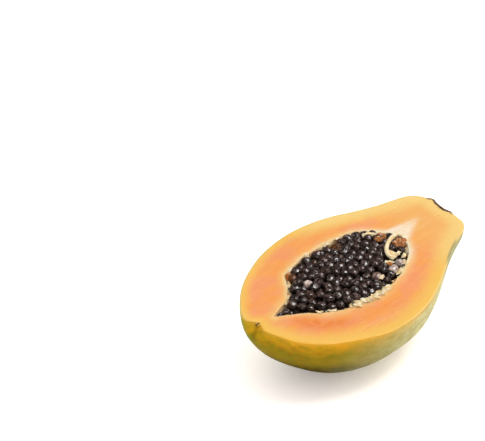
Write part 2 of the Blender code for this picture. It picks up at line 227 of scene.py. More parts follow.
def cavity_outline():
    """The cavity's edge as a closed line, and the direction inwards at each of its points."""
    shares = np.linspace(0.0, 1.0, 181)
    edge = np.vstack([through(CAVITY_ROWS, shares)[:, :2], through(CAVITY_ROWS, shares[::-1])[1:-1, 2:4]])
    run = np.roll(edge, -1, axis=0) - np.roll(edge, 1, axis=0)
    inwards = np.stack([run[:, 1], -run[:, 0]], axis=1)
    return edge, inwards / np.linalg.norm(inwards, axis=1)[:, None]


def cavity_middle(x):
    """Where the cavity's middle line is at a place along the fruit, and half the cavity's width there."""
    rows = through(CAVITY_ROWS, np.linspace(0.0, 1.0, 241))
    far, near = np.interp(x, rows[:, 0], rows[:, 1]), np.interp(x, rows[:, 2], rows[:, 3])
    return 0.5 * (far + near), 0.5 * (far - near)


def heap_height(x, y):
    """How high the heap's seeds have their middles: lowest by the wall, highest along the middle."""
    middle, half = cavity_middle(x)
    share = np.clip(np.abs(y - middle) / np.maximum(half, 0.1), 0.0, 1.0)
    rise = (HEAP_CROWN_HEIGHT - HEAP_EDGE_HEIGHT) * np.clip(half / 20.0, 0.0, 1.0)
    return HEAP_EDGE_HEIGHT + rise * np.sqrt(1.0 - share ** 2)


def under_strand(spots, height, radius):
    """Heights, lowered where a seed would touch the loose strand."""
    strand = through(STRAND_ROUTE, np.linspace(0.0, 1.0, STRAND_POINTS))
    need = (radius * SEED_LENGTH_RATIO + 1.25 * STRAND_RADIUS + SEED_CLEARANCE)[:, None]
    off = np.linalg.norm(spots[:, None, :] - strand[None, :, :2], axis=2)
    allowed = strand[None, :, 2] - np.sqrt(np.maximum(need ** 2 - off ** 2, 0.0))
    return np.minimum(height, np.where(off < need, allowed, 99.0).min(axis=1))


def settled_seeds(count, number, crowding, spreads, shrink=1.0):
    """Rows of x, y, height and radius: thrown in by a seeded draw, then pushed apart and off the wall."""
    draw = np.random.RandomState(number)
    edge, inwards = cavity_outline()
    radius = draw.uniform(SEED_RADIUS_MIN, SEED_RADIUS_MAX, count) * shrink
    x = draw.uniform(edge[:, 0].min(), edge[:, 0].max(), 8 * count)
    y = draw.uniform(edge[:, 1].min(), edge[:, 1].max(), 8 * count)
    middle, half = cavity_middle(x)
    spots = np.stack([x, y], axis=1)[np.abs(y - middle) < 0.95 * half][:count]
    slack = SEED_WALL_SLACK * draw.uniform(0.0, 1.0, count) ** 2
    wanted = (radius[:, None] + radius[None, :]) * crowding
    np.fill_diagonal(wanted, 0.0)
    for _ in range(spreads):
        between = spots[:, None, :] - spots[None, :, :]
        distance = np.maximum(np.linalg.norm(between, axis=2), 1e-6)
        push = np.maximum(wanted - distance, 0.0) / distance
        spots = spots + 0.3 * (between * push[:, :, None]).sum(axis=1)
        to_edge = spots[:, None, :] - edge[None, :, :]
        nearest = np.linalg.norm(to_edge, axis=2).argmin(axis=1)
        room = ((spots - edge[nearest]) * inwards[nearest]).sum(axis=1)
        short = np.maximum(radius * SEED_LENGTH_RATIO + SEED_WALL_GAP + slack - room, 0.0)
        spots = spots + inwards[nearest] * short[:, None]
        for scrap in SCRAPS:
            away = spots - scrap[:2]
            distance = np.maximum(np.linalg.norm(away, axis=1), 1e-6)
            short = np.maximum(radius * SEED_LENGTH_RATIO + scrap[4] + SEED_CLEARANCE - distance, 0.0)
            spots = spots + away * (short / distance)[:, None]
    to_edge = np.linalg.norm(spots[:, None, :] - edge[None, :, :], axis=2).min(axis=1)
    radius = np.minimum(radius, (to_edge - SEED_WALL_GAP) / SEED_LENGTH_RATIO)
    level = heap_height(spots[:, 0], spots[:, 1])
    height = under_strand(spots, level + draw.uniform(-0.5, 0.5, count) * SEED_UNEVEN, radius)
    kept = (radius > SEED_SMALLEST * shrink) & (height > level - SEED_LOWEST)
    return np.column_stack([spots, height, radius])[kept]


# Short hands for node trees and finished pieces


class Net:
    """The nodes of one tree: a call adds a node, joins what goes into it and gives back what comes out."""

    def __init__(self, tree):
        self.tree = tree

    def join(self, socket, value):
        if isinstance(value, bpy.types.NodeSocket):
            self.tree.links.new(value, socket)
        else:
            socket.default_value = value

    def add(self, kind, inputs=(), **settings):
        """A node; its inputs are given by name or number, or in their order."""
        made = self.tree.nodes.new(kind)
        for name, value in settings.items():
            setattr(made, name, value)
        for key, value in inputs.items() if isinstance(inputs, dict) else enumerate(inputs):
            self.join(made.inputs[key], value)
        return made

    def feed(self, shader, **inputs):
        for name, value in inputs.items():
            self.join(shader.inputs[name.replace("_", " ")], value)

    def maths(self, operation, *values, clamp=False):
        return self.add("ShaderNodeMath", values, operation=operation, use_clamp=clamp).outputs[0]

    def times(self, first, second):
        return self.maths("MULTIPLY", first, second)

    def plus(self, value, factor, more):
        """Value times factor, plus more."""
        return self.maths("MULTIPLY_ADD", value, factor, more)

    def vector(self, operation, *values, **inputs):
        inputs.update(enumerate(values))
        return self.add("ShaderNodeVectorMath", inputs, operation=operation).outputs[0]

    def mix(self, share, first, second):
        """Colour between two colours, by share."""
        first, second = (value if isinstance(value, bpy.types.NodeSocket) else (*value, 1.0)
                         for value in (first, second))
        return self.add("ShaderNodeMix", {0: share, 6: first, 7: second}, data_type="RGBA").outputs[2]

    def between(self, share, first, second):
        """Number between two numbers, by share."""
        return self.add("ShaderNodeMix", {0: share, 2: first, 3: second}, data_type="FLOAT").outputs[0]

    def spread(self, value, low, high, to_low=0.0, to_high=1.0):
        """A value taken from one range to another, eased at both ends."""
        return self.add("ShaderNodeMapRange", (value, low, high, to_low, to_high),
                        interpolation_type="SMOOTHSTEP").outputs[0]

    def stored(self, name, output="Fac"):
        """What the mesh's points carry under a name."""
        return self.add("ShaderNodeAttribute", attribute_name=name).outputs[output]

    def named(self, name, kind="FLOAT"):
        """The same, in a Geometry Nodes tree."""
        made = self.add("GeometryNodeInputNamedAttribute", {"Name": name}, data_type=kind)
        return made.outputs["Attribute"]

    def patchy(self, vector, scale, bend=0.3, detail=3.0, low=0.4, high=0.6, output="Patches"):
        inputs = {"Vector": vector, "Scale": scale, "Bend": bend, "Detail": detail, "Low": low, "High": high}
        return self.add("ShaderNodeGroup", inputs, node_tree=patchy_group()).outputs[output]

    def grain(self, vector, scale, bend, detail):
        """The bent noise itself."""
        return self.patchy(vector, scale, bend, detail, 0.0, 1.0, "Raw")

    def stretched(self, vector, scale, heading=0.0):
        """A place scaled along its axes, where a small scale draws a pattern out, then turned by a heading."""
        inputs = {"Vector": vector, "Rotation": (0.0, 0.0, heading), "Scale": scale}
        return self.add("ShaderNodeMapping", inputs).outputs[0]

    def bump(self, shader, height, distance, strength):
        """Fine relief in a shader's normals."""
        made = self.add("ShaderNodeBump", {"Strength": strength, "Distance": distance, "Height": height})
        self.feed(shader, Normal=made.outputs[0])


def socket_for(tree, name, kind, side, default=None):
    made = tree.interface.new_socket(name=name, in_out=side, socket_type="NodeSocket" + kind)
    if default is not None:
        made.default_value = default


def patchy_group():
    """Soft patches: noise bent by a second noise, spread between two levels."""
    name = "Patchy tone"
    if name in bpy.data.node_groups:
        return bpy.data.node_groups[name]
    group = bpy.data.node_groups.new(name, "ShaderNodeTree")
    socket_for(group, "Vector", "Vector", "INPUT")
    for label, default in (("Scale", 10.0), ("Bend", 0.3), ("Detail", 3.0), ("Low", 0.4), ("High", 0.6)):
        socket_for(group, label, "Float", "INPUT", default)
    for label in ("Patches", "Raw"):
        socket_for(group, label, "Float", "OUTPUT")
    net = Net(group)
    given = net.add("NodeGroupInput").outputs
    place, scale = given["Vector"], given["Scale"]
    bender = net.add("ShaderNodeTexNoise", {"Vector": place, "Scale": scale}).outputs["Color"]
    bent = net.vector("ADD", place, net.vector("SCALE", bender, Scale=given["Bend"]))
    body = net.add("ShaderNodeTexNoise", {"Vector": bent, "Scale": scale, "Detail": given["Detail"]})
    patches = net.spread(body.outputs[0], given["Low"], given["High"])
    net.add("NodeGroupOutput", {"Patches": patches, "Raw": body.outputs[0]})
    return group


def new_growth(name, inputs):
    """An empty Geometry Nodes tree with one numeric input for each entry, and what its inputs give."""
    tree = bpy.data.node_groups.new(name, "GeometryNodeTree")
    socket_for(tree, "Geometry", "Geometry", "INPUT")
    for label, default in inputs.items():
        socket_for(tree, label, "Int" if isinstance(default, int) else "Float", "INPUT", default)
    socket_for(tree, "Geometry", "Geometry", "OUTPUT")
    net = Net(tree)
    return net, net.add("NodeGroupInput").outputs


def end_growth(net, geometry, offset, material):
    """Moves the points, then ends the tree: shaded smooth, made real and dressed in its material."""
    moved = net.add("GeometryNodeSetPosition", {"Geometry": geometry, "Offset": offset})
    smooth = net.add("GeometryNodeSetShadeSmooth", {0: moved.outputs[0]})
    real = net.add("GeometryNodeRealizeInstances", {0: smooth.outputs[0]})
    dressed = net.add("GeometryNodeSetMaterial", {0: real.outputs[0], "Material": material})
    net.add("NodeGroupOutput", {0: dressed.outputs[0]})
    return net.tree


def new_finish(name, **constants):
    """A material with one Principled shader; what is the same all over is set on the shader itself."""
    material = bpy.data.materials.new(name)
    material.use_nodes = True
    net = Net(material.node_tree)
    shader = material.node_tree.nodes["Principled BSDF"]
    net.feed(shader, **constants)
    return material, net, shader


def linked(name, data):
    """A new object in the scene."""
    made = bpy.data.objects.new(name, data)
    bpy.context.scene.collection.objects.link(made)
    return made


def smooth_mesh(mesh, shape):
    """Fills a mesh with an edited shape and shades it smooth."""
    shape.to_mesh(mesh)
    shape.free()
    mesh.polygons.foreach_set("use_smooth", [True] * len(mesh.polygons))
    return mesh


def keep_values(mesh, name, values):
    """Stores a number or a vector on each point."""
    values = np.ascontiguousarray(values, dtype=np.float32)
    kind, field = ("FLOAT", "value") if values.ndim == 1 else ("FLOAT_VECTOR", "vector")
    mesh.attributes.new(name, kind, "POINT").data.foreach_set(field, values.ravel())


def laid(points):
    """Cut-frame points in millimetres, taken to where the half lies, in metres and never under its floor."""
    turn = np.array(LAY.to_3x3())
    placed = points @ turn.T + np.array(LAY.translation)
    placed[:, 2] = np.maximum(placed[:, 2], 0.0)
    return placed


def place_piece(name, mesh, node):
    """A finished piece on the part's one body, standing for one of its nodes."""
    made = linked(name, mesh)
    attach(made, "root")
    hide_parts(node)


def grown(name, source, tree, inputs):
    """The mesh that a Geometry Nodes tree makes of a source mesh, with the tree's inputs set by name."""
    carrier = linked(name, source)
    step = carrier.modifiers.new("grow", "NODES")
    step.node_group = tree
    for item in tree.interface.items_tree:
        if item.item_type == "SOCKET" and item.in_out == "INPUT" and item.name in inputs:
            step[item.identifier] = inputs[item.name]
    graph = bpy.context.evaluated_depsgraph_get()
    mesh = bpy.data.meshes.new_from_object(carrier.evaluated_get(graph), depsgraph=graph)
    carrier.modifiers.clear()
    bpy.data.objects.remove(carrier, do_unlink=True)
    mesh.name = name
    return mesh


# Settings


def colour_setting(name, description, shown):
    default = tone(shown) if isinstance(shown, str) else shown
    return FloatVectorProperty(name=name, description=description, default=default, min=0.0, max=1.0,
                               subtype="COLOR")


def number_setting(name, description, default, high, low=0.0, **more):
    return FloatProperty(name=name, description=description, default=default, min=low, max=high, **more)


class FruitSettings(PropertyGroup):
    rim_round: number_setting("Rim rounding", "Drop of the cut's rim, in millimetres", 0.3, 0.6)
    relief: number_setting("Cut relief", "Height of the cut face's unevenness, in millimetres", 0.22, 0.6)
    flesh: colour_setting("Flesh", "Ripe flesh between cavity and rim", "FDA552")
    flesh_pink: colour_setting("Pink flesh", "Rosier patches of the flesh", "FB9E66")
    flesh_edge: colour_setting("Outer flesh", "Yellow flesh next to the skin", "FBC75C")
    lining: colour_setting("Lining", "Pale lining round the cavity", "F9E2B0")
    skin_gold: colour_setting("Ripe skin", "Golden skin under the near rim", "F8B01E")
    skin_olive: colour_setting("Olive skin", "Olive skin of the belly", "9B8206")
    skin_green: colour_setting("Green skin", "Green skin of the far side", "7C9C26")
    skin_pale: colour_setting("Pale skin", "Pale skin of the neck", "E4E1A6")


class SeedSettings(PropertyGroup):
    wrinkle: number_setting("Lumpiness", "Lumps on a seed, as a share of its radius", 0.13, 0.3)
    stretch: number_setting("Stretch", "Length of a seed over its width", 1.14, 1.4, 1.0)
    dark: colour_setting("Seed", "Dark seed in its skin", "130B06")
    # Shown only on each seed's upper half; the lower half keeps the dark colour as painted shade.
    pale_ridges: colour_setting("Wrinkles", "Lighter ridges of a seed", "86706A")
    pale: colour_setting("Pale seeds", "Seeds that never filled", "E8D5CC")
    amber: colour_setting("Amber skins", "Seed skins that show brown", "7A4618")


class TissueSettings(PropertyGroup):
    strand_radius: number_setting("Strand radius", "Half thickness of the loose strand", STRAND_RADIUS * MM,
                                  0.002, 0.0004, unit="LENGTH", precision=4)
    cream: colour_setting("Tissue", "Pale tissue that carried the seeds", "FFF0CC")
    amber: colour_setting("Membrane", "Thin browned membrane", "B4640A")


class StageSettings(PropertyGroup):
    floor: colour_setting("Floor", "Plain pale floor", (0.95, 0.885, 0.85))
    floor_glow: number_setting("Floor light", "Light that comes through the floor from below", 0.24, 10.0)
    key: number_setting("Main light", "Strength of the high soft light", 1.25, 10.0)
    sheen: number_setting("Soft box", "Brightness of the soft box that glossy surfaces mirror", 24.0, 100.0)
    fill: number_setting("Ceiling light", "Strength of the even light from overhead", 1.85, 10.0)
    wall_light: number_setting("Wall light", "Strength of the even light from the sides", 0.45, 10.0)


# The fruit


RINGS, SKIN_TURNS, FACE_STEPS, WALL_TURNS = 236, 116, 74, 34


def even_shares(rows, count, evenness):
    """Shares along the rows, spaced partly by true length and partly by row."""
    dense = np.linspace(0.0, 1.0, 4001)
    points = through(rows, dense)
    step = np.diff(points, axis=0)
    length = np.concatenate([[0.0], np.cumsum(np.linalg.norm(step[:, :2], axis=1)
                                              + np.linalg.norm(step[:, 2:4], axis=1))])
    place = evenness * length / length[-1] + (1.0 - evenness) * dense
    return np.interp(np.linspace(0.0, 1.0, count), place, dense)


def matched_shares(points, columns):
    """Shares along the cavity whose edge lies in the same directions as the given rim points."""
    dense = np.linspace(0.0, 1.0, 4001)
    edge = through(CAVITY_ROWS, dense)[:, columns]
    side = 1.0 if columns[0] == 0 else -1.0

    def direction(line):
        off = line - np.array(FACE_MIDDLE)
        return np.unwrap(np.arctan2(side * off[:, 1], off[:, 0]))

    inner, outer = direction(edge), direction(points)
    inner = np.minimum.accumulate(inner)
    wanted = inner[0] + (outer - outer[0]) * (inner[-1] - inner[0]) / (outer[-1] - outer[0])
    wanted = np.minimum.accumulate(wanted)
    return np.interp(-wanted, -inner, dense)


def fruit_points():
    """All points of the fruit in the cut frame, its faces, and how many faces are cut, wall and skin."""
    shares = even_shares(SKIN_ROWS, RINGS, 0.72)
    steps = np.linspace(0.0, 1.0, SKIN_TURNS)
    turns = math.pi * (0.6 * steps + 0.4 * (0.5 - 0.5 * np.cos(math.pi * steps)))
    skin = half_rings(SKIN_ROWS, SKIN_RIB, shares[:, None], turns[None, :])
    inner_far = matched_shares(skin[:, 0, :2], [0, 1])
    inner_near = matched_shares(skin[:, -1, :2], [2, 3])
    inner_far[0] = inner_near[0] = 0.0
    inner_far[-1] = inner_near[-1] = 1.0
    wall_turns = math.pi * np.linspace(0.0, 1.0, WALL_TURNS)
    inner = inner_far[:, None] + (inner_near - inner_far)[:, None] * (wall_turns / math.pi)[None, :]
    wall = half_rings(CAVITY_ROWS, CAVITY_RIB, inner, np.broadcast_to(wall_turns, inner.shape))

    points = []

    def keep(block):
        start = sum(len(part) for part in points)
        points.append(block.reshape(-1, 3))
        return start + np.arange(block.shape[0] * int(np.prod(block.shape[1:-1])))

    def loops(grid):
        """Index grid of a loft with its poles shared, and its rim as one loop."""
        middle = keep(grid[1:-1]).reshape(len(grid) - 2, grid.shape[1])
        first, last = keep(grid[:1, :1])[0], keep(grid[-1:, :1])[0]
        whole = np.vstack([np.full(grid.shape[1], first), middle, np.full(grid.shape[1], last)])
        rim = np.concatenate([whole[:, 0], whole[-2:0:-1, -1]])
        return whole, rim

    def sheet(whole):
        made = []
        for a, b in zip(whole[:-1], whole[1:]):
            for corner in zip(a[:-1], a[1:], b[1:], b[:-1]):
                ring = tuple(int(corner[n]) for n in range(4) if corner[n] != corner[n - 1])
                if len(ring) > 2:
                    made.append(ring)
        return made

    skin_grid, rim = loops(skin)
    wall_grid, edge = loops(wall)
    base = np.vstack(points)
    share = np.linspace(0.0, 1.0, FACE_STEPS)
    share = 0.62 * share + 0.38 * (0.5 - 0.5 * np.cos(math.pi * share))
    ring = base[edge][None] + (base[rim] - base[edge])[None] * share[1:-1, None, None]
    between = keep(ring).reshape(FACE_STEPS - 2, len(rim))
    face_grid = np.vstack([edge, between, rim])
    face_grid = np.hstack([face_grid, face_grid[:, :1]])
    cut_faces, wall_faces, skin_faces = sheet(face_grid), sheet(wall_grid), sheet(skin_grid)
    faces = cut_faces + wall_faces + skin_faces
    spots = np.vstack(points)
    part = np.zeros(len(spots))
    part[np.unique(wall_grid[:, 1:-1])] = 1.0
    part[np.unique(skin_grid[:, 1:-1])] = 2.0
    part[edge] = part[rim] = 0.0
    return spots, faces, (len(cut_faces), len(wall_faces), len(skin_faces)), part, base[edge], base[rim]


def shape_fruit(settings):
    """Points with relief, and the masks that the finishes read, each named for what it marks."""
    spots, faces, counts, part, edge, rim = fruit_points()
    shape = spots.copy()
    flat, wall, skin = part == 0.0, part == 1.0, part == 2.0
    to_rim, to_edge = far_from(spots, rim), far_from(spots, edge)
    x, y, z = spots.T

    # ragged edge of the cavity, dying out into the cut face and down the wall
    ragged = ripple(spots, 5.2, 3.1) * 0.55 + ripple(spots, 1.9, 9.7) * 0.3
    fade = np.where(flat, np.exp(-to_edge / 3.0), np.where(wall, np.exp(z / 5.0), 0.0))
    outward = spots[:, :2] - np.array(FACE_MIDDLE)
    outward /= np.maximum(np.linalg.norm(outward, axis=1), 1e-6)[:, None]
    tips = smooth_step(8.0, 24.0, x) * smooth_step(117.0, 104.0, x)
    shape[:, :2] += outward * (ragged * fade * (0.35 + 0.65 * tips))[:, None]

    wedge = np.maximum(wedge_mask(spots), 0.75 * smooth_step(94.0, 108.0, x) * np.exp(-(to_edge / 3.0) ** 2))
    lining = np.exp(-(to_edge / 1.5) ** 2)
    waves = ripple(spots, 14.0, 5.0) + 0.5 * ripple(spots, 4.5, 1.3)
    fibres = ripple(spots * np.array([0.22, 1.6, 1.0]), 2.6, 7.7)
    lift = settings.relief * (0.45 * waves + 0.5 * fibres * smooth_step(96.0, 126.0, x))
    lift += 0.30 * lining * (0.6 + ripple(spots, 2.2, 4.4)) + 0.25 * wedge * (0.5 + fibres)
    scar = scar_mask(spots, to_rim)
    lift *= smooth_step(0.0, 3.0, to_rim)
    lift -= settings.rim_round * np.exp(-(to_rim / 0.38) ** 2)
    lift += 0.5 * scar * (0.5 + ripple(spots, 1.1, 2.2))
    shape[flat, 2] += lift[flat]

    # skin: soft dents, the crease under the flower stub, and a corky ring at the stem
    down = np.maximum(-z, 0.0)
    crease = np.exp(-((y + 0.10 * down) / (0.9 + 0.07 * down)) ** 2) * smooth_step(22.0, 2.0, down)
    crease *= smooth_step(26.0, 6.0, x) * smooth_step(0.3, 2.0, down)
    cork = smooth_step(152.6, 155.4, x) * smooth_step(13.0, 9.5, np.hypot(y, z)) * smooth_step(0.1, 0.9, down)
    stub = smooth_step(1.2, 0.5, np.hypot(1.3 * y, 0.7 * z)) * smooth_step(0.8, -0.6, x)
    push = 0.16 * ripple(spots, 22.0, 2.0) + 0.05 * ripple(spots, 5.0, 6.0) - 0.4 * crease
    push += cork * (0.28 * ripple(spots, 1.3, 8.0)) + stub * 0.25 * ripple(spots, 0.8, 3.0)
    push *= np.where(skin, smooth_step(0.0, 1.2, down), 0.0)
    middle = np.stack([x * 0.86 + 8.0, np.full_like(x, -4.0), np.zeros_like(x)], axis=1)
    away = spots - middle
    away /= np.maximum(np.linalg.norm(away, axis=1), 1e-6)[:, None]
    shape += away * push[:, None]

    neck = smooth_step(104.0, 136.0, x)
    masks = {
        "to_rim": to_rim, "to_edge": to_edge, "wedge": wedge, "below": down, "crease": crease,
        "cork": np.maximum(cork, scar), "stub": stub,
        "bruise": bruise_mask(spots),
        "pale": smooth_step(26.0, 104.0, x - 0.2 * y + 0.30 * down) * smooth_step(16.0, -14.0, y),
        "green": np.clip(smooth_step(-14.0, 26.0, y) + 0.45 * smooth_step(26.0, 50.0, down), 0.0, 1.0),
        "blotch": blotch_mask(spots),
        "neck": neck,
        "sage": smooth_step(100.0, 124.0, x) * smooth_step(0.0, 1.6, down),
        "sage_line": (smooth_step(113.0, 122.0, x) * smooth_step(141.0, 133.0, x)
                      * smooth_step(-8.0, -16.0, y)),
        "outer": 0.8 * np.maximum(neck, smooth_step(62.0, 96.0, x) * smooth_step(4.0, 26.0, y)),
        "farside": smooth_step(-6.0, 16.0, y),
        "slim": smooth_step(-6.0, 10.0, y) * smooth_step(96.0, 46.0, x),
        "lined": 0.35 + 0.65 * np.clip(smooth_step(66.0, 100.0, x) + smooth_step(2.0, 12.0, y), 0.0, 1.0),
    }
    return shape, spots, faces, counts, masks


def wedge_mask(spots):
    """Pale wedge of seed tissue from the cavity's stem end to its point in the neck."""
    x, y = spots[:, 0], spots[:, 1]
    along = (x - 108.0) / 34.0
    upper, lower = 8.4 - 6.2 * along, -13.5 + 18.0 * along - 3.0 * along ** 2
    inside = smooth_step(-0.8, 3.2, upper - y) * smooth_step(-1.6, 4.4, y - lower)
    point = smooth_step(-0.35, 0.1, along) * smooth_step(1.08, 0.8, along)
    return inside * point * (0.45 + 0.55 * smooth_step(0.9, 0.35, along))


def scar_mask(spots, to_rim):
    """Dark corky line where the stem scar meets the cut face."""
    x, y = spots[:, 0], spots[:, 1]
    reach = 2.0 + 0.9 * ripple(spots, 2.4, 6.6)
    return smooth_step(reach + 0.35, reach - 0.35, to_rim) * smooth_step(151.0, 153.5, x) * smooth_step(
        10.6, 8.6, y) * smooth_step(-10.2, -8.0, y)


def bruise_mask(spots):
    """Deeper, browner orange between the cavity and the near rim at the blossom end."""
    return np.clip(blob(spots, (20.0, -17.0), (11.0, 4.6), -58.0)
                   + 0.8 * blob(spots, (31.0, -27.5), (9.0, 3.4), -38.0)
                   + 0.5 * blob(spots, (52.0, -34.0), (17.0, 3.8), -14.0), 0.0, 1.0)


def blotch_mask(spots):
    """Browner, rougher skin round the blossom end of the near side."""
    patch = np.clip(1.2 * blob(spots, (8.0, -15.0), (20.0, 14.0), -60.0), 0.0, 1.0)
    return patch * smooth_step(8.0, 0.0, spots[:, 1])


def flesh_finish(settings):
    material, net, shader = new_finish(
        "ripe flesh", Roughness=0.42, IOR=1.28, Coat_Weight=0.1, Coat_Roughness=0.2, Subsurface_Weight=0.3,
        Subsurface_Scale=0.005, Subsurface_Radius=(1.0, 0.5, 0.22))
    place, below = net.stored("cut", "Vector"), net.stored("below")
    to_rim, to_edge = net.stored("to_rim"), net.stored("to_edge")
    wobble = net.plus(net.grain(place, 2.2, 0.2, 3.0), 3.4, -1.7)
    rim_at, edge_at = net.maths("ADD", to_rim, wobble), net.maths("ADD", to_edge, wobble)
    neck, bruised = net.stored("neck"), net.stored("bruise")

    # from the cavity outwards: rosy and streaked flesh, then the yellow band by the skin
    rosy = net.patchy(net.stretched(place, (0.6, 1.3, 1.0)), 1.0, 0.5, 2.0, 0.38, 0.62)
    body = net.mix(rosy, settings.flesh, settings.flesh_pink)
    streaks = net.patchy(net.stretched(place, (0.35, 2.6, 1.0), 0.15), 2.4, 0.35, 4.0, 0.42, 0.66)
    body = net.mix(net.times(streaks, 0.22), body, tone("FFC480"))
    band = net.between(net.stored("slim"), net.spread(rim_at, 14.0, 1.0), net.spread(rim_at, 7.5, 0.6))
    body = net.mix(band, body, settings.flesh_edge)
    body = net.mix(net.spread(edge_at, 6.5, 0.6, 0.0, 0.62), body, tone("FBCB7A"))
    body = net.mix(net.times(neck, 0.75), body, tone("FBBE66"))
    body = net.mix(net.times(net.stored("outer"), net.spread(rim_at, 14.0, 2.0)), body, tone("FDDA86"))
    lines = net.patchy(net.stretched(place, (0.22, 3.4, 1.0), -0.12), 2.0, 0.25, 3.0, 0.5, 0.68)
    body = net.mix(net.times(net.times(lines, neck), 0.20), body, tone("FFDC98"))

    # the bruise and its flecks
    uneven = net.spread(net.patchy(place, 3.0, 0.4, 4.0, 0.3, 0.7), 0.0, 1.0, 0.45, 1.0)
    body = net.mix(net.times(net.times(bruised, uneven), 0.75), body, tone("EE7A1C"))
    flecks = net.patchy(net.stretched(place, (0.7, 1.7, 1.0), 0.9), 7.5, 0.5, 4.0, 0.60, 0.72)
    body = net.mix(net.times(net.times(flecks, bruised), 0.55), body, tone("A8501C"))

    # the pale lining, the wedge of seed tissue in the neck and the cavity's wall, its top partly lifted with
    # painted light
    fuzz = net.patchy(place, 9.0, 0.5, 4.0, 0.3, 0.7)
    lined = net.times(net.spread(net.maths("ADD", edge_at, net.times(fuzz, 1.1)), 3.1, 0.9),
                      net.spread(fuzz, 0.0, 1.0, 0.55, 0.95))
    body = net.mix(net.times(lined, net.stored("lined")), body, settings.lining)
    threads = net.patchy(net.stretched(place, (0.5, 3.0, 1.0), 0.3), 5.0, 0.3, 4.0, 0.25, 0.75)
    wedge = net.times(net.stored("wedge"), net.spread(threads, 0.0, 1.0, 0.6, 1.0))
    body = net.mix(wedge, body, tone("FFF4DA"))
    # Partly the wall's pale lining, partly painted light: this cream is brighter than a fully lit tone, to
    # lift the wall's shade.
    body = net.mix(net.spread(below, 0.2, 1.6, 0.0, 0.9), body, paint("FCDCAA"))
    body = net.mix(net.spread(below, 3.0, 9.0, 0.0, 0.8), body, tone("FFB56A"))

    # the skin's cut edge, the corky scar and the flower stub
    skin_line = net.spread(net.plus(wobble, 0.08, to_rim), 1.25, 0.35)
    line_colour = net.mix(net.stored("farside"), tone("F4B93A"), tone("D6C684"))
    line_colour = net.mix(net.stored("pale"), line_colour, tone("F6DE96"))
    body = net.mix(net.times(skin_line, 0.85), body, line_colour)
    sage = net.times(net.stored("sage_line"), net.spread(to_rim, 1.9, 0.7, 0.0, 0.9))
    body = net.mix(sage, body, tone("A89F68"))
    flaky = net.patchy(place, 14.0, 0.6, 5.0, 0.4, 0.6)
    body = net.mix(net.stored("cork"), body, net.mix(flaky, tone("24140C"), tone("6E4632")))
    body = net.mix(net.times(net.stored("stub"), 0.9), body, tone("3A200E"))

    wet = net.patchy(place, 6.0, 0.4, 3.0, 0.3, 0.7)
    net.feed(shader, Base_Color=body, Roughness=net.spread(wet, 0.0, 1.0, 0.34, 0.5))
    grain = net.grain(net.stretched(place, (0.7, 1.6, 1.0)), 16.0, 0.3, 5.0)
    height = net.plus(net.grain(place, 45.0, 0.2, 3.0), 0.35, net.plus(streaks, 0.5, grain))
    net.bump(shader, height, 0.00035, 0.7)
    return material


